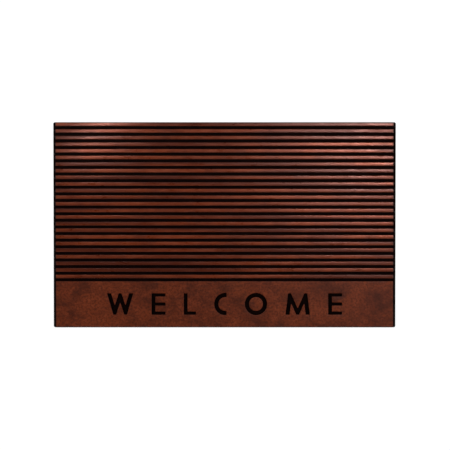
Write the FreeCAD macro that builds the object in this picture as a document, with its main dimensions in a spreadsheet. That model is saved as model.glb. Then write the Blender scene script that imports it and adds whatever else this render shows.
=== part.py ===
import FreeCAD, Part
import math
import operator
import os
import Sketcher

# Ribbed rubber door mat with a welcome band, in millimetres.
#
# Frame: +X along the long side, +Y from the front edge to the back edge, +Z up.
# The origin is on the ground, in the middle of the footprint.
#
# Pieces: one backing sheet, a row of scraper ribs, a band along the front with letters
# cut right through it, and the loose middle of the letter O. Ribs, band and middle all
# stand in shallow seats in the sheet, where they are bonded.

VECTOR = FreeCAD.Vector
ON_PLANE = "FlatFace"
TOLERANCE = 1e-4

# Driving dimensions. Each is a cell of the sheet and has the same alias there.
SIZES = {
    "mat_width": 762.0,
    "mat_depth": 457.2,
    "corner_radius": 4.0,
    "sheet_thickness": 4.2,
    "sheet_edge_radius": 0.6,
    "side_margin": 5.2,
    "back_margin": 0.8,
    "front_margin": 2.0,
    "seat_depth": 0.6,
    "seat_clearance": 0.15,
    "raised_height": 5.9,
    "rib_count": 24.0,
    "rib_width": 8.2,
    "rib_draft": 0.35,
    "crown_rise": 0.12,
    "shoulder_radius": 0.9,
    "rib_end_radius": 0.9,
    "band_depth": 101.2,
    "band_corner_radius": 1.6,
    "band_edge_radius": 1.2,
    "letter_edge": 0.4,
    "cap_height": 47.8,
    "letter_gap": 40.7,
    "stem_width": 8.4,
    "arm_thickness": 7.2,
    "ring_thickness": 9.4,
    "ring_diameter": 49.6,
    "slant_width": 9.3,
    "point_width": 6.2,
    "letter_w_width": 58.6,
    "letter_w_inset": 17.2,
    "letter_e_width": 31.0,
    "letter_l_width": 27.0,
    "letter_c_width": 27.6,
    "letter_m_width": 54.6,
    "letter_m_inset": 9.2,
    "grip_rim": 12.0,
    "grip_columns": 18.0,
    "grip_rows": 10.0,
    "grip_width": 4.0,
    "grip_depth": 0.9,
}

OPERATIONS = {
    "+": operator.add,
    "-": operator.sub,
    "*": operator.mul,
    "/": operator.truediv,
}


class Size:
    """A length held twice: as a number and as the sheet expression that drives it."""

    def __init__(self, value, text):
        self.value = value
        self.text = text

    def __add__(self, other):
        return combine(self, "+", other)

    def __sub__(self, other):
        return combine(self, "-", other)

    def __mul__(self, other):
        return combine(self, "*", other)

    def __truediv__(self, other):
        return combine(self, "/", other)

    def __neg__(self):
        return combine(0.0, "-", self)


def as_size(term):
    """A plain number becomes a Size whose expression is that number."""
    if isinstance(term, Size):
        return term
    return Size(float(term), f"({float(term)})")


def combine(left, sign, right):
    left = as_size(left)
    right = as_size(right)
    value = OPERATIONS[sign](left.value, right.value)
    return Size(value, f"({left.text} {sign} {right.text})")


def driven(alias):
    """The driving dimension with this name."""
    return Size(SIZES[alias], f"sizes.{alias}")


ZERO = as_size(0.0)
RIB_COUNT = int(SIZES["rib_count"])
LETTER_O_PLACE = 4

# Sizes worked out from the driving ones.
RAISED_LENGTH = driven("mat_width") - driven("side_margin") * 2
SEAT_LEVEL = driven("sheet_thickness") - driven("seat_depth")
BACK_EDGE = driven("mat_depth") / 2 - driven("back_margin")
FRONT_EDGE = driven("front_margin") - driven("mat_depth") / 2
BAND_BACK_EDGE = FRONT_EDGE + driven("band_depth")
BAND_CENTRE = FRONT_EDGE + driven("band_depth") / 2
RIB_PITCH = (BACK_EDGE - BAND_BACK_EDGE) / driven("rib_count")
FIRST_RIB = BACK_EDGE - driven("rib_width") / 2
ISLAND_DIAMETER = driven("ring_diameter") - driven("ring_thickness") * 2
WORD_WIDTHS = [
    driven("letter_w_width"),
    driven("letter_e_width"),
    driven("letter_l_width"),
    driven("letter_c_width"),
    driven("ring_diameter"),
    driven("letter_m_width"),
    driven("letter_e_width"),
]


def make_sheet(doc):
    sheet = doc.addObject("Spreadsheet::Sheet", "sizes")
    for row, (alias, value) in enumerate(SIZES.items(), start=1):
        cell = f"B{row}"
        sheet.set(cell, str(value))
        sheet.setAlias(cell, alias)
    doc.recompute()


def bind(thing, property_name, size):
    thing.setExpression(property_name, size.text)


# --- sketches ---------------------------------------------------------------------------


def origin_part(body, role):
    return next(part for part in body.Origin.OriginFeatures if part.Role == role)


def new_sketch(body, name, role="XY_Plane", lift=ZERO):
    """A sketch on one of the body's own planes, lifted along the plane's normal."""
    sketch = body.newObject("Sketcher::SketchObject", name)
    sketch.AttachmentSupport = [(origin_part(body, role), "")]
    sketch.MapMode = ON_PLANE
    bind(sketch, "AttachmentOffset.Base.z", lift)
    return sketch


def bind_constraint(sketch, size, kind, *references):
    """Adds a constraint whose value follows an expression."""
    index = sketch.addConstraint(Sketcher.Constraint(kind, *references, size.value))
    name = f"{kind}_{index}"
    sketch.renameConstraint(index, name)
    sketch.setExpression(f"Constraints.{name}", size.text)


def place_point(sketch, element, end, corner):
    """Holds one end of an element (1 start, 2 finish, 3 centre) at a bound place."""
    bind_constraint(sketch, corner[0], "DistanceX", -1, 1, element, end)
    bind_constraint(sketch, corner[1], "DistanceY", -1, 1, element, end)


def as_vector(corner):
    return VECTOR(corner[0].value, corner[1].value, 0)


def draw_polygon(sketch, corners):
    """A closed run of straight lines through the corners."""
    count = len(corners)
    for index, corner in enumerate(corners):
        following = corners[(index + 1) % count]
        sketch.addGeometry(Part.LineSegment(as_vector(corner), as_vector(following)), False)
    for index, corner in enumerate(corners):
        sketch.addConstraint(
            Sketcher.Constraint("Coincident", index, 2, (index + 1) % count, 1)
        )
        place_point(sketch, index, 1, corner)


def draw_rectangle(sketch, centre, width, depth):
    left = centre[0] - width / 2
    right = centre[0] + width / 2
    front = centre[1] - depth / 2
    back = centre[1] + depth / 2
    draw_polygon(sketch, [(left, front), (right, front), (right, back), (left, back)])


def draw_circle(sketch, centre, diameter):
    circle = Part.Circle(as_vector(centre), VECTOR(0, 0, 1), diameter.value / 2)
    element = sketch.addGeometry(circle, False)
    place_point(sketch, element, 3, centre)
    bind_constraint(sketch, diameter, "Diameter", element)


# --- solid features ---------------------------------------------------------------------


def pad(body, name, sketch, length, along_both_ways=False):
    feature = body.newObject("PartDesign::Pad", name)
    feature.Profile = sketch
    bind(feature, "Length", length)
    if along_both_ways:
        feature.SideType = "Symmetric"
    return feature


def pocket(body, name, sketch, depth=None, upwards=False):
    """Cuts the sketch to a depth, or right through; a cut that misses is an error."""
    body.Document.recompute()
    volume_before = body.Shape.Volume
    feature = body.newObject("PartDesign::Pocket", name)
    feature.Profile = sketch
    feature.Reversed = upwards
    if depth is None:
        feature.Type = "ThroughAll"
    else:
        bind(feature, "Length", depth)
    body.Document.recompute()
    if not feature.Shape.Volume < volume_before:
        raise RuntimeError(f"{body.Label}: {name} cuts nothing")
    return feature


def repeat(body, name, feature, direction, count, span, backwards=False):
    """A row of copies of a feature; the span runs from the first to the last."""
    pattern = body.newObject("PartDesign::LinearPattern", name)
    pattern.Originals = [feature]
    pattern.Direction = (feature.Profile[0], [direction])
    pattern.Reversed = backwards
    pattern.Mode = "Extent"
    bind(pattern, "Length", span)
    bind(pattern, "Occurrences", count)
    body.Tip = pattern
    return pattern


def edges_where(shape, wanted):
    return [f"Edge{n}" for n, edge in enumerate(shape.Edges, start=1) if wanted(edge)]


def round_edges(body, name, radius, wanted):
    """Fillets the edges of the body's present shape that pass the test."""
    body.Document.recompute()
    base = body.Tip
    names = edges_where(base.Shape, wanted)
    if not names:
        raise RuntimeError(f"{body.Label}: {name} finds no edge")
    fillet = body.newObject("PartDesign::Fillet", name)
    fillet.Base = (base, names)
    bind(fillet, "Radius", radius)
    return fillet


def close_to(value, target):
    return math.isclose(value, target, abs_tol=TOLERANCE)


def is_upright(edge):
    """A straight edge that runs along Z."""
    box = edge.BoundBox
    return close_to(box.XLength, 0) and close_to(box.YLength, 0)


def lies_at_height(height):
    def test(edge):
        box = edge.BoundBox
        return close_to(box.ZMin, height) and close_to(box.ZMax, height)

    return test


# --- backing sheet ----------------------------------------------------------------------


def make_base_sheet(doc):
    body = doc.addObject("PartDesign::Body", "base_sheet")
    middle = (ZERO, ZERO)

    outline = new_sketch(body, "sheet_outline")
    draw_rectangle(outline, middle, driven("mat_width"), driven("mat_depth"))
    pad(body, "sheet_slab", outline, driven("sheet_thickness"))
    round_edges(body, "sheet_corners", driven("corner_radius"), is_upright)
    top = SIZES["sheet_thickness"]
    round_edges(
        body, "sheet_rim", driven("sheet_edge_radius"),
        lambda edge: lies_at_height(top)(edge) or lies_at_height(0.0)(edge),
    )

    cut_rib_seats(body)
    cut_band_seat(body)
    cut_grip_grooves(body)
    return body


def cut_rib_seats(body):
    """A shallow seat for each rib, a clearance larger all round."""
    play = driven("seat_clearance") * 2
    sketch = new_sketch(body, "rib_seat_outline", lift=driven("sheet_thickness"))
    draw_rectangle(sketch, (ZERO, FIRST_RIB), RAISED_LENGTH + play, driven("rib_width") + play)
    seat = pocket(body, "rib_seat", sketch, driven("seat_depth"))
    span = RIB_PITCH * (driven("rib_count") - 1)
    repeat(body, "rib_seats", seat, "V_Axis", driven("rib_count"), span, backwards=True)


def cut_band_seat(body):
    play = driven("seat_clearance") * 2
    sketch = new_sketch(body, "band_seat_outline", lift=driven("sheet_thickness"))
    draw_rectangle(
        sketch, (ZERO, BAND_CENTRE), RAISED_LENGTH + play, driven("band_depth") + play
    )
    pocket(body, "band_seat", sketch, driven("seat_depth"))


def cut_grip_grooves(body):
    """Two crossing sets of grooves under the sheet, inside an unbroken rim."""
    reach_x = driven("mat_width") - driven("grip_rim") * 2
    reach_y = driven("mat_depth") - driven("grip_rim") * 2
    step_x = reach_x / (driven("grip_columns") + 1)
    step_y = reach_y / (driven("grip_rows") + 1)
    first_x = step_x - reach_x / 2
    first_y = step_y - reach_y / 2

    column = new_sketch(body, "grip_column_outline")
    draw_rectangle(column, (first_x, ZERO), driven("grip_width"), reach_y)
    groove = pocket(body, "grip_column", column, driven("grip_depth"), upwards=True)
    span = step_x * (driven("grip_columns") - 1)
    repeat(body, "grip_columns_row", groove, "H_Axis", driven("grip_columns"), span)

    row = new_sketch(body, "grip_row_outline")
    draw_rectangle(row, (ZERO, first_y), reach_x, driven("grip_width"))
    groove = pocket(body, "grip_row", row, driven("grip_depth"), upwards=True)
    span = step_y * (driven("grip_rows") - 1)
    repeat(body, "grip_rows_row", groove, "V_Axis", driven("grip_rows"), span)


# --- scraper ribs -----------------------------------------------------------------------


def draw_rib_section(sketch):
    """Upright section: foot, two drafted walls and an arched crown."""
    half_foot = driven("rib_width") / 2
    half_top = half_foot - driven("rib_draft")
    shoulder = driven("raised_height") - driven("crown_rise")
    crown_radius = (half_top * half_top / driven("crown_rise") + driven("crown_rise")) / 2
    corners = [
        (half_top, shoulder),
        (-half_top, shoulder),
        (-half_foot, ZERO),
        (half_foot, ZERO),
    ]
    crown_top = (ZERO, driven("raised_height"))
    crown = Part.Arc(as_vector(corners[0]), as_vector(crown_top), as_vector(corners[1]))
    sketch.addGeometry(crown, False)
    for start, finish in ((1, 2), (2, 3), (3, 0)):
        line = Part.LineSegment(as_vector(corners[start]), as_vector(corners[finish]))
        sketch.addGeometry(line, False)
    for index in range(len(corners)):
        following = (index + 1) % len(corners)
        sketch.addConstraint(Sketcher.Constraint("Coincident", index, 2, following, 1))
        place_point(sketch, index, 1, corners[index])
    bind_constraint(sketch, crown_radius, "Radius", 0)


def make_rib(doc, number):
    body = doc.addObject("PartDesign::Body", f"rib_{number:02d}")
    section = new_sketch(body, f"rib_section_{number:02d}", role="YZ_Plane")
    draw_rib_section(section)
    pad(body, f"rib_bar_{number:02d}", section, RAISED_LENGTH, along_both_ways=True)

    length = RAISED_LENGTH.value
    shoulder = SIZES["raised_height"] - SIZES["crown_rise"]

    def is_shoulder(edge):
        box = edge.BoundBox
        return close_to(box.XLength, length) and close_to(box.ZMin, shoulder)

    def is_end(edge):
        box = edge.BoundBox
        return close_to(box.XLength, 0) and box.ZMax > SIZES["seat_depth"]

    round_edges(body, f"rib_shoulders_{number:02d}", driven("shoulder_radius"), is_shoulder)
    round_edges(body, f"rib_ends_{number:02d}", driven("rib_end_radius"), is_end)
    bind(body, "Placement.Base.y", FIRST_RIB - RIB_PITCH * (number - 1))
    bind(body, "Placement.Base.z", SEAT_LEVEL)
    return body


# --- letters ----------------------------------------------------------------------------
# Each outline stands on the line y = foot and starts at x = left.


def crossing(first, first_lean, second, second_lean):
    """Where two leaning lines meet; a lean is the sideways step for each step up."""
    rise = (second[0] - first[0]) - (second[1] - first[1]) * second_lean
    height = rise / (first_lean - second_lean)
    return (first[0] + height * first_lean, first[1] + height)


def mirrored(corners, axis):
    """The same corners on the other side of an upright axis, in reverse order."""
    return [(axis * 2 - corner[0], corner[1]) for corner in reversed(corners)]


def outline_w(left, foot):
    """Four slanting strokes, with cut-off points."""
    cap = driven("cap_height")
    slant = driven("slant_width")
    half_point = driven("point_width") / 2
    axis = left + driven("letter_w_width") / 2
    top = foot + cap
    low_point = left + driven("letter_w_inset")

    outer_foot = (low_point - half_point, foot)
    inner_foot = (low_point + half_point, foot)
    peak = (axis - half_point, top)
    outer_lean = (left - outer_foot[0]) / cap
    inner_lean = (peak[0] + slant - inner_foot[0]) / cap
    valley = crossing((left + slant, top), outer_lean, peak, inner_lean)
    fork = (axis, foot + (axis - inner_foot[0]) / inner_lean)

    top_left = [(left, top), (left + slant, top), valley, peak]
    foot_left = [inner_foot, outer_foot]
    return top_left + mirrored(top_left, axis) + mirrored(foot_left, axis) + [fork] + foot_left


def outline_m(left, foot):
    """Two legs that lean in and a V between them, down to the foot line."""
    cap = driven("cap_height")
    slant = driven("slant_width")
    half_point = driven("point_width") / 2
    axis = left + driven("letter_m_width") / 2
    top = foot + cap
    high_point = left + driven("letter_m_inset")

    outer_top = (high_point - half_point, top)
    inner_top = (high_point + half_point, top)
    middle_foot = (axis - half_point, foot)
    leg_lean = (outer_top[0] - left) / cap
    stroke_lean = (inner_top[0] - middle_foot[0] - slant) / cap
    notch = crossing((left + slant, foot), leg_lean, middle_foot, stroke_lean)
    fork = (axis, top + (axis - inner_top[0]) / stroke_lean)

    leg = [middle_foot, notch, (left + slant, foot), (left, foot), outer_top, inner_top]
    return leg + [fork] + mirrored(leg, axis)


def outline_e(left, foot):
    stem = left + driven("stem_width")
    right = left + driven("letter_e_width")
    top = foot + driven("cap_height")
    arm = driven("arm_thickness")
    middle = foot + (driven("cap_height") - arm) / 2
    return [
        (left, foot),
        (right, foot),
        (right, foot + arm),
        (stem, foot + arm),
        (stem, middle),
        (right, middle),
        (right, middle + arm),
        (stem, middle + arm),
        (stem, top - arm),
        (right, top - arm),
        (right, top),
        (left, top),
    ]


def outline_l(left, foot):
    stem = left + driven("stem_width")
    right = left + driven("letter_l_width")
    top = foot + driven("cap_height")
    arm = driven("arm_thickness")
    return [
        (left, foot),
        (right, foot),
        (right, foot + arm),
        (stem, foot + arm),
        (stem, top),
        (left, top),
    ]


def draw_c(sketch, left, centre_line):
    """A ring cut upright a little past its middle, open to the right."""
    outer = driven("ring_diameter") / 2
    inner = outer - driven("ring_thickness")
    middle = (left + outer, centre_line)
    cut = left + driven("letter_c_width")
    past = (cut - middle[0]).value
    elements = []
    for radius in (outer, inner):
        turn = math.acos(past / radius.value)
        circle = Part.Circle(as_vector(middle), VECTOR(0, 0, 1), radius.value)
        arc = Part.ArcOfCircle(circle, turn, 2 * math.pi - turn)
        element = sketch.addGeometry(arc, False)
        place_point(sketch, element, 3, middle)
        bind_constraint(sketch, radius, "Radius", element)
        for end in (1, 2):
            bind_constraint(sketch, cut, "DistanceX", -1, 1, element, end)
        elements.append((element, arc))
    (outer_element, outer_arc), (inner_element, inner_arc) = elements
    for end, outer_end, inner_end in (
        (1, outer_arc.StartPoint, inner_arc.StartPoint),
        (2, outer_arc.EndPoint, inner_arc.EndPoint),
    ):
        line = sketch.addGeometry(Part.LineSegment(outer_end, inner_end), False)
        sketch.addConstraint(Sketcher.Constraint("Coincident", line, 1, outer_element, end))
        sketch.addConstraint(Sketcher.Constraint("Coincident", line, 2, inner_element, end))


def letter_starts():
    """The left edge of each letter; the word is centred and its gaps are equal."""
    total = driven("letter_gap") * (len(WORD_WIDTHS) - 1)
    for width in WORD_WIDTHS:
        total = total + width
    starts = []
    cursor = -total / 2
    for width in WORD_WIDTHS:
        starts.append(cursor)
        cursor = cursor + width + driven("letter_gap")
    return starts


# --- band -------------------------------------------------------------------------------


def make_welcome_band(doc):
    """Drawn about its own middle; the letters go right through."""
    body = doc.addObject("PartDesign::Body", "welcome_band")
    outline = new_sketch(body, "band_outline")
    draw_rectangle(outline, (ZERO, ZERO), RAISED_LENGTH, driven("band_depth"))
    pad(body, "band_slab", outline, driven("raised_height"))
    round_edges(body, "band_corners", driven("band_corner_radius"), is_upright)
    top = SIZES["raised_height"]
    round_edges(body, "band_rim", driven("band_edge_radius"), lies_at_height(top))

    foot = -driven("cap_height") / 2
    starts = letter_starts()
    letter_w, letter_e, letter_l, letter_c, letter_o, letter_m, letter_last_e = starts
    polygons = {
        "letter_w": outline_w(letter_w, foot),
        "letter_e": outline_e(letter_e, foot),
        "letter_l": outline_l(letter_l, foot),
        "letter_m": outline_m(letter_m, foot),
        "letter_last_e": outline_e(letter_last_e, foot),
    }
    for name, corners in polygons.items():
        sketch = new_sketch(body, f"{name}_outline")
        draw_polygon(sketch, corners)
        pocket(body, name, sketch, upwards=True)

    sketch = new_sketch(body, "letter_c_outline")
    draw_c(sketch, letter_c, ZERO)
    pocket(body, "letter_c", sketch, upwards=True)

    sketch = new_sketch(body, "letter_o_outline")
    draw_circle(sketch, (letter_o + driven("ring_diameter") / 2, ZERO), driven("ring_diameter"))
    pocket(body, "letter_o", sketch, upwards=True)

    reach = RAISED_LENGTH.value / 2 - 2 * SIZES["band_edge_radius"]

    def is_letter_edge(edge):
        box = edge.BoundBox
        return lies_at_height(top)(edge) and max(-box.XMin, box.XMax) < reach

    round_edges(body, "letter_edges", driven("letter_edge"), is_letter_edge)
    bind(body, "Placement.Base.y", BAND_CENTRE)
    bind(body, "Placement.Base.z", SEAT_LEVEL)
    return body


def make_letter_o_centre(doc):
    """The disc that stands inside the ring of the letter O."""
    body = doc.addObject("PartDesign::Body", "letter_o_centre")
    outline = new_sketch(body, "island_outline")
    draw_circle(outline, (ZERO, ZERO), ISLAND_DIAMETER)
    pad(body, "island_disc", outline, driven("raised_height"))
    top = SIZES["raised_height"]
    round_edges(body, "island_edge", driven("letter_edge"), lies_at_height(top))
    letter_o = letter_starts()[LETTER_O_PLACE]
    bind(body, "Placement.Base.x", letter_o + driven("ring_diameter") / 2)
    bind(body, "Placement.Base.y", BAND_CENTRE)
    bind(body, "Placement.Base.z", SEAT_LEVEL)
    return body


# --- check and write --------------------------------------------------------------------


def check(doc, bodies):
    for thing in doc.Objects:
        if {"Invalid", "Error"} & set(thing.State):
            raise RuntimeError(f"{thing.Label} failed: {thing.State}")
    for body in bodies:
        if body.Shape.isNull() or not body.Shape.isValid():
            raise RuntimeError(f"{body.Label} has no valid shape")
        if len(body.Shape.Solids) != 1:
            raise RuntimeError(f"{body.Label} is not one solid")


def main():
    doc = FreeCAD.newDocument("door_mat")
    make_sheet(doc)
    bodies = [make_base_sheet(doc)]
    bodies += [make_rib(doc, number) for number in range(1, RIB_COUNT + 1)]
    bodies.append(make_welcome_band(doc))
    bodies.append(make_letter_o_centre(doc))
    doc.recompute()
    check(doc, bodies)

    os.makedirs("parts", exist_ok=True)
    for body in bodies:
        body.Shape.exportStep(os.path.join("parts", f"{body.Label}.step"))
        box = body.Shape.BoundBox
        print(f"{body.Label}: {box.XLength:.2f} x {box.YLength:.2f} x {box.ZLength:.2f}")


main()
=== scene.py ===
import math

import bpy
from mathutils import Matrix, Vector, geometry, kdtree, noise


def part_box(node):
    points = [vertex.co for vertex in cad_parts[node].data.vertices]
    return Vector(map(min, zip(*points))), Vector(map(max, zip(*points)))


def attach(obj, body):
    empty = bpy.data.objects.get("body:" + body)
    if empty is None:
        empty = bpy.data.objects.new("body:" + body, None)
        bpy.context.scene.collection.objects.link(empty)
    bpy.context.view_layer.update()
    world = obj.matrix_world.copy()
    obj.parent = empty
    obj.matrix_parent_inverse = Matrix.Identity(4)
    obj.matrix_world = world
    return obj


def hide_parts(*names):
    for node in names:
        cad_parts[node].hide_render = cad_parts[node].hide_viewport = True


# Ribbed rubber door mat with a copper-brown painted face.
#
# Every length is in metres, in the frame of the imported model: +X along the long side,
# +Y from the front band to the back edge, +Z up. The sheet of black rubber is the packed
# part itself with a finish of its own. The ribs are grown by one Geometry Nodes tree,
# and the band and the middle of the letter O are built from their outlines.

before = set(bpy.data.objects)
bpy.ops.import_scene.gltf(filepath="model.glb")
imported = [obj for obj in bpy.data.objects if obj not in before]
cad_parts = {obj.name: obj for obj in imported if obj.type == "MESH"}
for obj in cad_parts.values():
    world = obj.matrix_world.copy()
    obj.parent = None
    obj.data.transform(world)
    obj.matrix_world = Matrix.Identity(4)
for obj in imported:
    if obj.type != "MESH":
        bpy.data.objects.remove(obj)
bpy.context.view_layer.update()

MM = 0.001
BODY = "root"
SHARP_ANGLE = math.radians(50)

SHEET_LOW, SHEET_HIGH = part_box("base_sheet")
BAND_LOW, BAND_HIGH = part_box("welcome_band")
ISLAND_LOW, ISLAND_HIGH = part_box("letter_o_centre")
RIB_NODES = sorted(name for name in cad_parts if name.startswith("rib_"))
FACE_TOP = BAND_HIGH.z


# --- node helpers -----------------------------------------------------------------------


class NodeBench:
    """Adds nodes to a tree. An input takes another node's output or a plain value."""

    def __init__(self, tree):
        self.tree = tree

    def feed(self, socket, value):
        if isinstance(value, bpy.types.NodeSocket):
            self.tree.links.new(value, socket)
        else:
            socket.default_value = value

    def add(self, kind, inputs=None, **settings):
        node = self.tree.nodes.new(kind)
        for name, value in settings.items():
            setattr(node, name, value)
        for name, value in (inputs or {}).items():
            self.feed(node.inputs[name], value)
        return node

    def math(self, operation, *terms):
        node = self.tree.nodes.new("ShaderNodeMath")
        node.operation = operation
        for socket, term in zip(node.inputs, terms):
            self.feed(socket, term)
        return node.outputs[0]

    def vector(self, operation, *terms):
        node = self.tree.nodes.new("ShaderNodeVectorMath")
        node.operation = operation
        for socket, term in zip(node.inputs, terms):
            self.feed(socket, term)
        return node.outputs[0]

    def join(self, x, y, z):
        return self.add("ShaderNodeCombineXYZ", {"X": x, "Y": y, "Z": z}).outputs[0]

    def split(self, vector):
        return self.add("ShaderNodeSeparateXYZ", {"Vector": vector}).outputs

    def ramp(self, value, low, high, to_low=0.0, to_high=1.0):
        """Maps low..high to to_low..to_high along a smooth step."""
        node = self.add(
            "ShaderNodeMapRange",
            {
                "Value": value,
                "From Min": low,
                "From Max": high,
                "To Min": to_low,
                "To Max": to_high,
            },
            interpolation_type="SMOOTHSTEP",
        )
        return node.outputs["Result"]

    def noise(self, vector, scale, detail=2.0, roughness=0.5, distortion=0.0):
        node = self.add(
            "ShaderNodeTexNoise",
            {
                "Vector": vector,
                "Scale": scale,
                "Detail": detail,
                "Roughness": roughness,
                "Distortion": distortion,
            },
        )
        return node.outputs[0]


# --- finishes ---------------------------------------------------------------------------


class Finish(NodeBench):
    """A material around one Principled BSDF, read from Object coordinates."""

    def __init__(self, name, constants):
        self.material = bpy.data.materials.new(name)
        self.material.use_nodes = True
        super().__init__(self.material.node_tree)
        self.shader = self.tree.nodes["Principled BSDF"]
        for socket, value in constants.items():
            self.shader.inputs[socket].default_value = value
        self.place = self.add("ShaderNodeTexCoord").outputs["Object"]

    def stretched(self, x, y, z):
        """Object coordinates scaled per axis, for a pattern that runs one way."""
        return self.vector("MULTIPLY", self.place, (x, y, z))

    def blend(self, amount, first, second):
        node = self.add("ShaderNodeMix", data_type="RGBA")
        self.feed(node.inputs["Factor"], amount)
        self.feed(node.inputs[6], first)
        self.feed(node.inputs[7], second)
        return node.outputs[2]

    def emboss(self, *layers):
        """Bumps laid over each other; each layer is a height and its depth in metres."""
        normal = None
        for height, depth in layers:
            node = self.add("ShaderNodeBump", {"Height": height, "Distance": depth})
            if normal is not None:
                self.feed(node.inputs["Normal"], normal)
            normal = node.outputs["Normal"]
        self.feed(self.shader.inputs["Normal"], normal)


# Noise scales and stretches are in waves per metre. A spread gives the values of a noise
# between which something comes in, and then, where there are four, what it goes from and to.
# Both rubber colours are black rubber, but far darker than real rubber and with a red cast:
# painted shade, standing in for the shade deep in the grooves between the ribs.
SHADED_BLACK_RUBBER = (0.0030, 0.0006, 0.0004, 1)
SHADED_DUSTY_RUBBER = (0.0050, 0.0014, 0.0011, 1)
RUBBER_GLOSS = 0.08
DUST_SCALE = 28.0
DUST_SPREAD = (0.42, 0.7)
RUBBER_GRAIN_SCALE = 420.0
RUBBER_GRAIN_DEPTH = 0.12 * MM
RUBBER_ROUGHNESS = (0.3, 0.7, 0.72, 0.9)
RUBBER_CRUMB_SCALE = 1400.0
RUBBER_CRUMB_DEPTH = 0.05 * MM

DRIFT_STRETCH = (1.0, 1.6, 1.0)
DRIFT_SCALE = 9.0
RED_SPREAD = (0.38, 0.64)
COPPER_SPREAD = (0.45, 0.75, 0.0, 0.45)
STRIP_STRETCH = (2.5, 68.0, 1.0)
STRIP_SPREAD = (0.34, 0.70)
PATCH_SPREAD = (0.40, 0.70)
PATCH_DEPTH = 0.05 * MM
MARK_DEPTH = 0.008 * MM
GRAIN_SCALE = 210.0
GRAIN_SPREAD = (0.42, 0.68)
SPECK_STRETCH = (420, 560, 560)
SPECK_WEAR = (0.64, 0.74, 1.0, 0.25)
SPECK_DEPTH = 0.015 * MM
CRUMB_SCALE = 1500.0
CRUMB_DEPTH = 0.008 * MM

# The paint's lower line: how far the marks raise it, and where it starts and covers, each
# as a share of the paint's fade. At both ends of the mat it gives out over BARE_END.
LINE_RAGGED = 0.9
LINE_START = 0.3
LINE_FULL = 1.3
BARE_END = 2.2 * MM

# The marks move a paint's roughness from SMOOTHEST to ROUGHEST about its own, and where
# the rubber shows through it is rougher by BARE_ROUGHER.
ROUGHNESS_SPREAD = (0.3, 0.7)
SMOOTHEST, ROUGHEST = -0.03, 0.08
BARE_ROUGHER = 0.5

# A paint's tones are the body, a redder patch, a darker patch and the copper rubbed over
# them. It starts at a depth below the face and takes its fade to cover. Marks and patches
# are scales along and across the mat. Wear, unlike and grain are how dark the patches, the
# strips and the grain get, and metal is the share of light mirrored as metal.
RIB_PAINT = {
    "tones": (
        (0.245, 0.0395, 0.0098, 1),
        (0.268, 0.0460, 0.0115, 1),
        (0.095, 0.0150, 0.0048, 1),
        (0.330, 0.0720, 0.0260, 1),
    ),
    "start": 3.0 * MM,
    "fade": 1.6 * MM,
    "marks": (36, 150),
    "patches": (13, 17),
    "wear": 0.62,
    "unlike": 0.95,
    "grain": 0.10,
    "metal": 0.45,
    "gloss": 0.85,
    "rough": 0.30,
}
BAND_PAINT = {
    "tones": (
        (0.130, 0.0240, 0.0080, 1),
        (0.150, 0.0285, 0.0088, 1),
        (0.036, 0.0085, 0.0044, 1),
        (0.250, 0.0500, 0.0170, 1),
    ),
    "start": 1.5 * MM,
    "fade": 0.9 * MM,
    "marks": (95, 130),
    "patches": (16, 24),
    "wear": 0.72,
    "unlike": 0.0,
    "grain": 0.60,
    "metal": 0.15,
    "gloss": 0.25,
    "rough": 0.42,
}


def make_shaded_black_rubber():
    """Bare moulded rubber: matt, faintly dusty, with a fine crumb, and darkened as painted shade.
    """
    finish = Finish("black rubber", {"Specular IOR Level": RUBBER_GLOSS})
    dust = finish.noise(finish.place, DUST_SCALE, detail=4.0, roughness=0.6)
    crumb = finish.noise(finish.place, RUBBER_CRUMB_SCALE, detail=3.0, roughness=0.6)
    grain = finish.noise(finish.place, RUBBER_GRAIN_SCALE)
    colour = finish.blend(finish.ramp(dust, *DUST_SPREAD), SHADED_BLACK_RUBBER, SHADED_DUSTY_RUBBER)
    finish.feed(finish.shader.inputs["Base Color"], colour)
    finish.feed(finish.shader.inputs["Roughness"], finish.ramp(grain, *RUBBER_ROUGHNESS))
    finish.emboss((grain, RUBBER_GRAIN_DEPTH), (crumb, RUBBER_CRUMB_DEPTH))
    return finish.material


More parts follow.
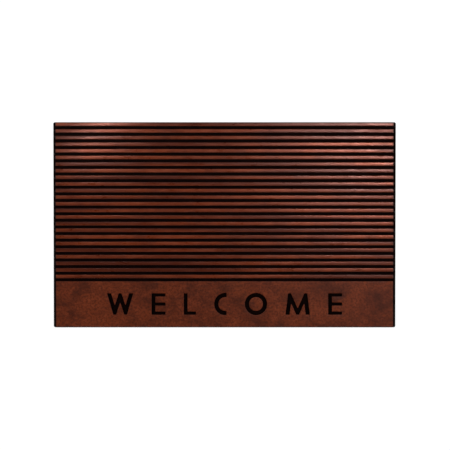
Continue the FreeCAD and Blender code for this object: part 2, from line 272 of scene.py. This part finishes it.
def make_copper_paint(name, paint):
    """Metallic brown paint rubbed over black rubber by hand."""
    finish = Finish(name, {"Specular IOR Level": paint["gloss"]})
    body, red, dark, copper = paint["tones"]
    along, across = paint["marks"]
    wide, deep = paint["patches"]
    line, fade = FACE_TOP - paint["start"], paint["fade"]
    aside, _, height = finish.split(finish.place)

    drift = finish.noise(
        finish.stretched(*DRIFT_STRETCH), DRIFT_SCALE, detail=3.0, roughness=0.55
    )
    strip = finish.noise(finish.stretched(*STRIP_STRETCH), 1.0, detail=0.0)
    patch = finish.noise(
        finish.stretched(wide, deep, 1.0), 1.0, detail=6.0, roughness=0.66, distortion=0.5
    )
    marks = finish.noise(
        finish.stretched(along, across, across), 1.0, detail=3.0, distortion=0.4
    )
    grain = finish.noise(finish.place, GRAIN_SCALE, roughness=0.6)
    speck = finish.noise(finish.stretched(*SPECK_STRETCH), 1.0, detail=3.0, roughness=0.7)
    crumb = finish.noise(finish.place, CRUMB_SCALE, detail=3.0, roughness=0.6)

    colour = finish.blend(finish.ramp(drift, *RED_SPREAD), body, red)
    colour = finish.blend(finish.ramp(marks, *COPPER_SPREAD), colour, copper)
    for noise_value, spread, darkest in (
        (strip, STRIP_SPREAD, paint["unlike"]),
        (patch, PATCH_SPREAD, paint["wear"]),
        (grain, GRAIN_SPREAD, paint["grain"]),
    ):
        colour = finish.blend(finish.ramp(noise_value, *spread, 0.0, darkest), colour, dark)

    ragged = finish.math("MULTIPLY_ADD", marks, fade * LINE_RAGGED, height)
    covered = finish.ramp(ragged, line + fade * LINE_START, line + fade * LINE_FULL)
    worn = finish.ramp(speck, *SPECK_WEAR)
    from_middle = finish.math("ABSOLUTE", aside)
    inside = finish.ramp(from_middle, BAND_HIGH.x - BARE_END, BAND_HIGH.x, 1.0, 0.0)
    cover = finish.math("MULTIPLY", finish.math("MULTIPLY", covered, worn), inside)
    # Where the paint stops, the rubber colour shows, painted shade included.
    colour = finish.blend(cover, SHADED_BLACK_RUBBER, colour)
    finish.feed(finish.shader.inputs["Base Color"], colour)

    metal = finish.math("MULTIPLY", cover, paint["metal"])
    finish.feed(finish.shader.inputs["Metallic"], metal)
    painted = finish.ramp(
        marks, *ROUGHNESS_SPREAD, paint["rough"] + SMOOTHEST, paint["rough"] + ROUGHEST
    )
    bare = finish.math("SUBTRACT", 1.0, cover)
    rough = finish.math("MULTIPLY_ADD", bare, BARE_ROUGHER, painted)
    finish.feed(finish.shader.inputs["Roughness"], rough)
    finish.emboss(
        (patch, PATCH_DEPTH), (marks, MARK_DEPTH), (speck, SPECK_DEPTH), (crumb, CRUMB_DEPTH)
    )
    return finish.material


# --- ribs -------------------------------------------------------------------------------

RIB_INPUTS = {
    "Length": 0.75,
    "Foot Width": 8.2 * MM,
    "Height": 5.9 * MM,
    "Draft": 0.35 * MM,
    "Crown Rise": 0.12 * MM,
    "Shoulder Radius": 0.9 * MM,
    "End Radius": 0.9 * MM,
    "Wander": 0.10 * MM,
    "Nick Depth": 0.05 * MM,
}

# How many points the block has along X, Y and Z, and how close two may lie before they are
# made one. The wander and the nicks read noise that is MIDDLE_NOISE on average.
RIB_CUTS = (241, 15, 9)
WELD_GAP = 0.005 * MM
WANDER_STRETCH = (14.0, 14.0, 1.0)
WANDER_GAIN = 4.0
NICK_STRETCH = (170.0, 260.0, 1.7)
MIDDLE_NOISE = 0.5


def make_rib_tree(material):
    """One moulded rib: a fine block whose points are pulled onto a rounded, arched bar."""
    tree = bpy.data.node_groups.new("moulded rib", "GeometryNodeTree")
    face = tree.interface
    face.new_socket("Geometry", in_out="INPUT", socket_type="NodeSocketGeometry")
    for name, value in RIB_INPUTS.items():
        socket = face.new_socket(name, in_out="INPUT", socket_type="NodeSocketFloat")
        socket.default_value = value
    face.new_socket("Foot Centre", in_out="INPUT", socket_type="NodeSocketVector")
    face.new_socket("Seed", in_out="INPUT", socket_type="NodeSocketFloat")
    face.new_socket("Geometry", in_out="OUTPUT", socket_type="NodeSocketGeometry")

    bench = NodeBench(tree)
    given = bench.add("NodeGroupInput").outputs
    block = bench.add(
        "GeometryNodeMeshCube",
        {
            "Size": (2.0, 2.0, 2.0),
            "Vertices X": RIB_CUTS[0],
            "Vertices Y": RIB_CUTS[1],
            "Vertices Z": RIB_CUTS[2],
        },
    ).outputs["Mesh"]
    share = bench.split(bench.add("GeometryNodeInputPosition").outputs[0])

    # Points crowd towards the ends, the shoulders and the top, where the bar is rounded.
    quarter_turn = math.pi / 2
    half_length = bench.math("MULTIPLY", given["Length"], 0.5)
    half_foot = bench.math("MULTIPLY", given["Foot Width"], 0.5)
    along = bench.math("SINE", bench.math("MULTIPLY", share[0], quarter_turn))
    aside = bench.math("SINE", bench.math("MULTIPLY", share[1], quarter_turn))
    risen = bench.math("MULTIPLY_ADD", share[2], 0.5, 0.5)
    risen = bench.math("SINE", bench.math("MULTIPLY", risen, quarter_turn))
    point = bench.join(
        bench.math("MULTIPLY", along, half_length),
        bench.math("MULTIPLY", aside, half_foot),
        bench.math("MULTIPLY", risen, given["Height"]),
    )

    # The core is the bar less its radii; each point is set a radius away from it.
    radii = bench.join(given["End Radius"], given["Shoulder Radius"], given["Shoulder Radius"])
    reach = bench.vector("SUBTRACT", bench.join(half_length, half_foot, given["Height"]), radii)
    core = bench.vector("MINIMUM", point, reach)
    core = bench.vector("MAXIMUM", core, bench.vector("MULTIPLY", reach, (-1.0, -1.0, 0.0)))
    away = bench.vector("DIVIDE", bench.vector("SUBTRACT", point, core), radii)
    away = bench.vector("MULTIPLY", bench.vector("NORMALIZE", away), radii)
    rounded = bench.split(bench.vector("ADD", core, away))

    # The crown falls away to both sides, and the walls lean in by the draft.
    lift = bench.math("DIVIDE", rounded[2], given["Height"])
    sideways = bench.math("DIVIDE", rounded[1], half_foot)
    fall = bench.math("MULTIPLY", bench.math("MULTIPLY", sideways, sideways), given["Crown Rise"])
    height = bench.math("SUBTRACT", rounded[2], bench.math("MULTIPLY", fall, lift))
    lean = bench.math("MULTIPLY", bench.math("MULTIPLY", sideways, lift), given["Draft"])
    width = bench.math("SUBTRACT", rounded[1], lean)

    # Rubber from a worn mould is never quite straight: a slow wander and small nicks.
    spot = bench.join(rounded[0], rounded[1], given["Seed"])
    slow = bench.noise(bench.vector("MULTIPLY", spot, WANDER_STRETCH), 1.0, detail=1.0)
    quick = bench.noise(bench.vector("MULTIPLY", spot, NICK_STRETCH), 1.0)
    wander = bench.math("SUBTRACT", slow, MIDDLE_NOISE)
    wander = bench.math("MULTIPLY", wander, given["Wander"])
    wander = bench.math("MULTIPLY", bench.math("MULTIPLY", wander, WANDER_GAIN), lift)
    nick = bench.math("SUBTRACT", quick, MIDDLE_NOISE)
    nick = bench.math("MULTIPLY", nick, given["Nick Depth"])
    nick = bench.math("MULTIPLY", nick, bench.math("MULTIPLY", lift, lift))
    width = bench.math("ADD", width, wander)
    placed = bench.join(rounded[0], width, bench.math("ADD", height, nick))
    placed = bench.vector("ADD", placed, given["Foot Centre"])

    bar = bench.add("GeometryNodeSetPosition", {"Geometry": block, "Position": placed})
    clean = bench.add(
        "GeometryNodeMergeByDistance", {"Geometry": bar.outputs[0], "Distance": WELD_GAP}
    )
    smooth = bench.add("GeometryNodeSetShadeSmooth", {"Geometry": clean.outputs[0]})
    real = bench.add("GeometryNodeRealizeInstances", {"Geometry": smooth.outputs[0]})
    coat = bench.add(
        "GeometryNodeSetMaterial", {"Geometry": real.outputs[0], "Material": material}
    )
    bench.add("NodeGroupOutput", {"Geometry": coat.outputs[0]})
    return tree


def grow_rib(tree, node, seed):
    """Runs the tree once, to the size and place of one packed rib."""
    low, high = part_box(node)
    holder = bpy.data.objects.new(f"{node}_bar", bpy.data.meshes.new(node))
    bpy.context.collection.objects.link(holder)
    modifier = holder.modifiers.new("moulded rib", "NODES")
    sockets = {
        item.name: item.identifier
        for item in tree.interface.items_tree
        if item.in_out == "INPUT"
    }
    modifier.node_group = tree
    modifier[sockets["Length"]] = high.x - low.x
    modifier[sockets["Foot Width"]] = high.y - low.y
    modifier[sockets["Height"]] = high.z - low.z
    middle = (low + high) / 2
    modifier[sockets["Foot Centre"]] = (middle.x, middle.y, low.z)
    modifier[sockets["Seed"]] = float(seed)
    evaluated = holder.evaluated_get(bpy.context.evaluated_depsgraph_get())
    grown = bpy.data.meshes.new_from_object(evaluated)
    holder.modifiers.clear()
    holder.data = grown
    grown.set_sharp_from_angle(angle=SHARP_ANGLE)
    return holder


# --- outlines ---------------------------------------------------------------------------

POINT_STEP = 2.5 * MM
RING_POINT_STEP = POINT_STEP / 2
ARC_STEP = math.radians(15)
SOFTEST_CORNER = math.radians(20)
MITRE_LIMIT = 0.5

LETTER_GAP = 40.7 * MM
CAP_HEIGHT = 47.8 * MM
STEM_WIDTH = 8.4 * MM
ARM_THICKNESS = 7.2 * MM
RING_DIAMETER = 49.6 * MM
RING_THICKNESS = 9.4 * MM
SLANT_WIDTH = 9.3 * MM
HALF_POINT = 3.1 * MM
W_WIDTH, W_INSET = 58.6 * MM, 17.2 * MM
M_WIDTH, M_INSET = 54.6 * MM, 9.2 * MM
E_WIDTH = 31.0 * MM
L_WIDTH = 27.0 * MM
C_WIDTH = 27.6 * MM


def crossing(first, first_lean, second, second_lean):
    """Where two leaning lines meet; a lean is the sideways step for each step up."""
    rise = (second[0] - first[0]) - (second[1] - first[1]) * second_lean
    height = rise / (first_lean - second_lean)
    return (first[0] + height * first_lean, first[1] + height)


def mirrored(corners, axis):
    return [(2 * axis - x, y) for x, y in reversed(corners)]


def letter_w(left, foot):
    axis, top = left + W_WIDTH / 2, foot + CAP_HEIGHT
    low = left + W_INSET
    outer_foot, inner_foot = (low - HALF_POINT, foot), (low + HALF_POINT, foot)
    peak = (axis - HALF_POINT, top)
    outer_lean = (left - outer_foot[0]) / CAP_HEIGHT
    inner_lean = (peak[0] + SLANT_WIDTH - inner_foot[0]) / CAP_HEIGHT
    valley = crossing((left + SLANT_WIDTH, top), outer_lean, peak, inner_lean)
    fork = (axis, foot + (axis - inner_foot[0]) / inner_lean)
    head = [(left, top), (left + SLANT_WIDTH, top), valley, peak]
    feet = [inner_foot, outer_foot]
    return head + mirrored(head, axis) + mirrored(feet, axis) + [fork] + feet


def letter_m(left, foot):
    axis, top = left + M_WIDTH / 2, foot + CAP_HEIGHT
    high = left + M_INSET
    outer_top, inner_top = (high - HALF_POINT, top), (high + HALF_POINT, top)
    middle = (axis - HALF_POINT, foot)
    leg_lean = (outer_top[0] - left) / CAP_HEIGHT
    stroke_lean = (inner_top[0] - middle[0] - SLANT_WIDTH) / CAP_HEIGHT
    notch = crossing((left + SLANT_WIDTH, foot), leg_lean, middle, stroke_lean)
    fork = (axis, top + (axis - inner_top[0]) / stroke_lean)
    leg = [middle, notch, (left + SLANT_WIDTH, foot), (left, foot), outer_top, inner_top]
    return leg + [fork] + mirrored(leg, axis)


def letter_e(left, foot):
    stem, right, top = left + STEM_WIDTH, left + E_WIDTH, foot + CAP_HEIGHT
    arms = [foot, foot + (CAP_HEIGHT - ARM_THICKNESS) / 2, top - ARM_THICKNESS]
    outline = []
    for arm in arms:
        outline += [(stem, arm), (right, arm)]
        outline += [(right, arm + ARM_THICKNESS), (stem, arm + ARM_THICKNESS)]
    return [(left, foot)] + outline[1:-1] + [(left, top)]


def letter_l(left, foot):
    stem, right, top = left + STEM_WIDTH, left + L_WIDTH, foot + CAP_HEIGHT
    return [
        (left, foot),
        (right, foot),
        (right, foot + ARM_THICKNESS),
        (stem, foot + ARM_THICKNESS),
        (stem, top),
        (left, top),
    ]


def arc(centre, radius, start, finish):
    count = max(3, round(abs(finish - start) * radius / RING_POINT_STEP))
    turns = (start + (finish - start) * i / count for i in range(count + 1))
    return [(centre[0] + radius * math.cos(t), centre[1] + radius * math.sin(t)) for t in turns]


def letter_c(left, foot):
    """A ring cut upright a little past its middle."""
    outer, inner = RING_DIAMETER / 2, RING_DIAMETER / 2 - RING_THICKNESS
    centre = (left + outer, foot + CAP_HEIGHT / 2)
    past = C_WIDTH - outer
    open_outer, open_inner = math.acos(past / outer), math.acos(past / inner)
    outside = arc(centre, outer, open_outer, 2 * math.pi - open_outer)
    inside = arc(centre, inner, 2 * math.pi - open_inner, open_inner)
    return outside + inside


def circle(centre, radius):
    return arc(centre, radius, 0.0, 2 * math.pi)[:-1]


def area(loop):
    return sum(a[0] * b[1] - b[0] * a[1] for a, b in zip(loop, loop[1:] + loop[:1])) / 2


def turned(loop, anticlockwise):
    return loop if (area(loop) > 0) == anticlockwise else loop[::-1]


def softened(corners, radius):
    """The outline with its sharp corners rounded in plan, and points along its sides."""
    outline = []
    count = len(corners)
    for index, corner in enumerate(corners):
        here = Vector(corner)
        before = (Vector(corners[index - 1]) - here).normalized()
        after = (Vector(corners[(index + 1) % count]) - here).normalized()
        half_angle = before.angle(after) / 2
        turn = math.pi - 2 * half_angle
        if turn < SOFTEST_CORNER:
            outline.append(here)
            continue
        centre = here + (before + after).normalized() * (radius / math.sin(half_angle))
        start = here + before * (radius / math.tan(half_angle)) - centre
        side = 1 if before.cross(after) < 0 else -1
        steps = max(3, round(turn / ARC_STEP))
        for step in range(steps + 1):
            spoke = start.copy()
            spoke.rotate(Matrix.Rotation(side * turn * step / steps, 2))
            outline.append(centre + spoke)
    spaced = []
    for here, following in zip(outline, outline[1:] + outline[:1]):
        parts = max(1, math.ceil((following - here).length / POINT_STEP))
        spaced += [here.lerp(following, part / parts) for part in range(parts)]
    return [(point.x, point.y) for point in spaced]


def set_in(loop, distance):
    """Every point moved to the left of the direction of travel."""
    moved = []
    for before, here, after in zip(loop[-1:] + loop[:-1], loop, loop[1:] + loop[:1]):
        ahead = (Vector(after) - Vector(here)).normalized()
        behind = (Vector(here) - Vector(before)).normalized()
        left = Vector((-ahead.y - behind.y, ahead.x + behind.x)).normalized()
        squareness = max(MITRE_LIMIT, left.dot(Vector((-ahead.y, ahead.x))))
        moved.append(tuple(Vector(here) + left * (distance / squareness)))
    return moved


# --- raised plates ----------------------------------------------------------------------

ROUNDING_STEPS = 4
FACE_GRID = 4.5 * MM
RIM_CLEARANCE = 0.45 * FACE_GRID
FACE_SWELL = 0.10 * MM
SWELL_SCALE = 22
SWELL_FULL = 3 * FACE_GRID
INSIDE_ONLY = 1
MERGE_GAP = 1e-9


class Plate:
    """A flat-topped moulding with upright walls, rounded rims and holes right through."""

    def __init__(self, floor, top):
        self.floor = floor
        self.top = top
        self.points = []
        self.faces = []
        self.floor_rings = []
        self.top_rings = []

    def add_ring(self, loop, height):
        start = len(self.points)
        self.points += [(x, y, height) for x, y in loop]
        return list(range(start, start + len(loop)))

    def add_wall(self, loop, radius):
        """From the floor up round the rim; the loop keeps the material on its left."""
        rings = [self.add_ring(loop, self.floor), self.add_ring(loop, self.top - radius)]
        for step in range(1, ROUNDING_STEPS + 1):
            turn = math.pi / 2 * step / ROUNDING_STEPS
            inset = set_in(loop, radius * (1 - math.cos(turn)))
            rings.append(self.add_ring(inset, self.top - radius * (1 - math.sin(turn))))
        for lower, upper in zip(rings, rings[1:]):
            for i in range(len(loop)):
                j = (i + 1) % len(loop)
                self.faces.append((lower[i], lower[j], upper[j], upper[i]))
        self.floor_rings.append(rings[0])
        self.top_rings.append(rings[-1])

    def fill(self, rings, extra, upwards):
        """Triangles inside the first ring and outside the others, through the extra points."""
        indices = [i for ring in rings for i in ring] + extra
        flat = [Vector(self.points[i][:2]) for i in indices]
        outlines, start = [], 0
        for ring in rings:
            outline = list(range(start, start + len(ring)))
            outlines.append(outline[::-1] if outlines else outline)
            start += len(ring)
        result = geometry.delaunay_2d_cdt(flat, [], outlines, INSIDE_ONLY, MERGE_GAP)
        for triangle, owners in zip(result[2], result[5]):
            if owners != [0]:
                continue
            face = tuple(indices[result[3][i][0]] for i in triangle)
            self.faces.append(face if upwards else face[::-1])

    def close(self):
        loops = [[self.points[i][:2] for i in ring] for ring in self.top_rings]
        extra = self.add_face_points(loops)
        self.fill(self.top_rings, extra, True)
        self.fill(self.floor_rings, [], False)

    def add_face_points(self, loops):
        """A staggered net of points over the top, which swells and sinks a little."""
        rim = kdtree.KDTree(sum(len(loop) for loop in loops))
        for number, point in enumerate(point for loop in loops for point in loop):
            rim.insert((point[0], point[1], 0), number)
        rim.balance()
        xs, ys = zip(*loops[0])
        rows = int((max(ys) - min(ys)) / FACE_GRID)
        columns = int((max(xs) - min(xs)) / FACE_GRID)
        extra = []
        for row in range(rows + 1):
            y = min(ys) + (row + 0.5) * FACE_GRID
            for column in range(columns + 1):
                x = min(xs) + (column + 0.5 * (row % 2)) * FACE_GRID
                gap = rim.find((x, y, 0))[2]
                if gap < RIM_CLEARANCE or not covers(loops, (x, y)):
                    continue
                swell = noise.noise(Vector((x, y, 0)) * SWELL_SCALE) * FACE_SWELL
                height = self.top + swell * min(1.0, gap / SWELL_FULL)
                extra.append(len(self.points))
                self.points.append((x, y, height))
        return extra

    def to_object(self, name, material):
        mesh = bpy.data.meshes.new(name)
        mesh.from_pydata(self.points, [], self.faces)
        mesh.validate()
        mesh.polygons.foreach_set("use_smooth", [True] * len(mesh.polygons))
        mesh.set_sharp_from_angle(angle=SHARP_ANGLE)
        mesh.materials.append(material)
        piece = bpy.data.objects.new(name, mesh)
        bpy.context.collection.objects.link(piece)
        return piece


def covers(loops, point):
    """Whether the point is inside the first loop and outside the others."""
    crossings = 0
    x, y = point
    for loop in loops:
        for (ax, ay), (bx, by) in zip(loop, loop[1:] + loop[:1]):
            if (ay > y) != (by > y) and x < ax + (y - ay) * (bx - ax) / (by - ay):
                crossings += 1
    return crossings % 2 == 1


# --- band and island --------------------------------------------------------------------

RIM_RADIUS = 1.2 * MM
LETTER_RIM_RADIUS = 0.4 * MM
PLAN_CORNER = 1.6 * MM
LETTER_CORNER = 0.9 * MM


def letter_loops():
    """The outlines of the word, centred on the band, with equal gaps."""
    widths = [W_WIDTH, E_WIDTH, L_WIDTH, C_WIDTH, RING_DIAMETER, M_WIDTH, E_WIDTH]
    draw = [letter_w, letter_e, letter_l, letter_c, None, letter_m, letter_e]
    middle = (BAND_LOW + BAND_HIGH) / 2
    foot = middle.y - CAP_HEIGHT / 2
    cursor = middle.x - (sum(widths) + LETTER_GAP * (len(widths) - 1)) / 2
    loops = []
    for width, outline in zip(widths, draw):
        if outline is None:
            centre = (cursor + width / 2, middle.y)
            loops.append(circle(centre, width / 2))
        else:
            loops.append(softened(turned(outline(cursor, foot), True), LETTER_CORNER))
        cursor += width + LETTER_GAP
    return loops


def make_band(material):
    plate = Plate(BAND_LOW.z, BAND_HIGH.z)
    corners = [
        (BAND_LOW.x, BAND_LOW.y),
        (BAND_HIGH.x, BAND_LOW.y),
        (BAND_HIGH.x, BAND_HIGH.y),
        (BAND_LOW.x, BAND_HIGH.y),
    ]
    plate.add_wall(softened(corners, PLAN_CORNER), RIM_RADIUS)
    for loop in letter_loops():
        plate.add_wall(turned(loop, False), LETTER_RIM_RADIUS)
    plate.close()
    return plate.to_object("welcome_band_face", material)


def make_island(material):
    plate = Plate(ISLAND_LOW.z, ISLAND_HIGH.z)
    middle = (ISLAND_LOW + ISLAND_HIGH) / 2
    radius = (ISLAND_HIGH.x - ISLAND_LOW.x) / 2
    plate.add_wall(circle((middle.x, middle.y), radius), LETTER_RIM_RADIUS)
    plate.close()
    return plate.to_object("letter_o_island", material)


# --- studio -----------------------------------------------------------------------------

WHITE = (1, 1, 1, 1)
VIEW_DISTANCE = 2.5
VIEW_WIDTH = 1.0005
VIEW_TILT = math.radians(1.0)
VIEW_ASIDE = 1.0 * MM
SENSOR = 36.0

FLOOR_GLOW = 0.80
FLOOR_REACH = 25.0
FLOOR_DROP = 0.2 * MM
FLOOR_ROUGHNESS = 0.9
FLOOR_GLOSS = 0.1
FLOOR_GREYS = ((0.30, 0.30, 0.30, 1), (0.32, 0.32, 0.32, 1))
FLOOR_CLOUD_SCALE = 3.0
FLOOR_CLOUD_SPREAD = (0.3, 0.7)

# The studio walls are pale up to HORIZON_TOP and fade to a dark dome from DOME_START; both
# are sines of the height angle.
HORIZON_TOP = 0.10
DOME_START = 0.60
HORIZON_LIGHT = 0.85
DOME_LIGHT = 0.03

BANK_POWER = 38
BANK_SIZE = (1.6, 1.6)
BANK_ASIDE, BANK_BACK, BANK_HEIGHT = 1.6, 0.1, 2.3

# Each gloss lamp: the place on the mat that mirrors it to the camera, its height above the
# mat, how wide and deep its reflection is, and its power.
GLOSS_LAMPS = (
    ("right gloss", (0.310, 0.240), 1.5, (0.22, 0.10), 5.0),
    ("left gloss", (-0.265, 0.236), 0.3, (0.20, 0.016), 0.23),
)


def make_camera():
    """Straight above, a hair towards the back edge."""
    camera = bpy.data.cameras.new("camera")
    camera.sensor_width = SENSOR
    camera.lens = SENSOR * VIEW_DISTANCE / VIEW_WIDTH
    holder = bpy.data.objects.new("camera", camera)
    aim = (SHEET_LOW + SHEET_HIGH) / 2
    aim.z = FACE_TOP
    aim.x += VIEW_ASIDE
    back = Vector((0, math.sin(VIEW_TILT), math.cos(VIEW_TILT)))
    holder.location = aim + back * VIEW_DISTANCE
    holder.rotation_euler = (-VIEW_TILT, 0, 0)
    bpy.context.collection.objects.link(holder)
    bpy.context.scene.camera = holder


def make_light(name, place, aim, size, power, gloss_only):
    """A rectangular lamp; it feeds either the mirrored light or the scattered light."""
    lamp = bpy.data.lights.new(name, "AREA")
    lamp.shape = "RECTANGLE"
    lamp.size, lamp.size_y = size
    lamp.energy = power
    holder = bpy.data.objects.new(name, lamp)
    holder.location = place
    holder.rotation_euler = (Vector(aim) - Vector(place)).to_track_quat("-Z", "Y").to_euler()
    holder.visible_camera = False
    holder.visible_glossy = gloss_only
    holder.visible_diffuse = not gloss_only
    bpy.context.collection.objects.link(holder)


def make_floor():
    mesh = bpy.data.meshes.new("floor")
    reach = FLOOR_REACH
    corners = [(-reach, -reach), (reach, -reach), (reach, reach), (-reach, reach)]
    mesh.from_pydata([(x, y, -FLOOR_DROP) for x, y in corners], [], [(0, 1, 2, 3)])
    finish = Finish(
        "white floor",
        {
            "Roughness": FLOOR_ROUGHNESS,
            "Specular IOR Level": FLOOR_GLOSS,
            "Emission Color": WHITE,
            "Emission Strength": FLOOR_GLOW,
        },
    )
    clouds = finish.ramp(finish.noise(finish.place, FLOOR_CLOUD_SCALE), *FLOOR_CLOUD_SPREAD)
    finish.feed(finish.shader.inputs["Base Color"], finish.blend(clouds, *FLOOR_GREYS))
    mesh.materials.append(finish.material)
    floor = bpy.data.objects.new("floor", mesh)
    bpy.context.collection.objects.link(floor)


def make_studio():
    world = bpy.data.worlds.new("studio")
    world.use_nodes = True
    bench = NodeBench(world.node_tree)
    backdrop = world.node_tree.nodes["Background"]
    backdrop.inputs["Color"].default_value = WHITE
    rise = bench.split(bench.add("ShaderNodeTexCoord").outputs["Generated"])[2]
    shade = bench.ramp(rise, HORIZON_TOP, DOME_START, HORIZON_LIGHT, DOME_LIGHT)
    bench.feed(backdrop.inputs["Strength"], shade)
    bpy.context.scene.world = world
    bpy.context.scene.view_settings.view_transform = "Standard"
    for name, side in (("left bank", -1), ("right bank", 1)):
        place = (side * BANK_ASIDE, BANK_BACK, BANK_HEIGHT)
        make_light(name, place, (0, 0, 0), BANK_SIZE, BANK_POWER, False)
    for name, mirror, height, spread, power in GLOSS_LAMPS:
        reach = (VIEW_DISTANCE + height) / VIEW_DISTANCE
        tilt = math.tan(VIEW_TILT) * height
        place = (mirror[0] * reach, mirror[1] * reach - tilt, height)
        size = (spread[0] * reach, spread[1] * reach)
        make_light(name, place, (*mirror, 0), size, power, True)


# --- assembly ---------------------------------------------------------------------------


def stand_in(piece, node):
    """The piece rides on the mat's one body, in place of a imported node."""
    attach(piece, BODY)
    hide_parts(node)


def main():
    make_camera()
    make_studio()
    make_floor()

    rubber = make_shaded_black_rubber()
    rib_paint = make_copper_paint("rib paint", RIB_PAINT)
    band_paint = make_copper_paint("band paint", BAND_PAINT)

    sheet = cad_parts["base_sheet"]
    sheet.data.materials.clear()
    sheet.data.materials.append(rubber)

    tree = make_rib_tree(rib_paint)
    for seed, node in enumerate(RIB_NODES, start=1):
        stand_in(grow_rib(tree, node, seed), node)
    stand_in(make_band(band_paint), "welcome_band")
    stand_in(make_island(band_paint), "letter_o_centre")


main()
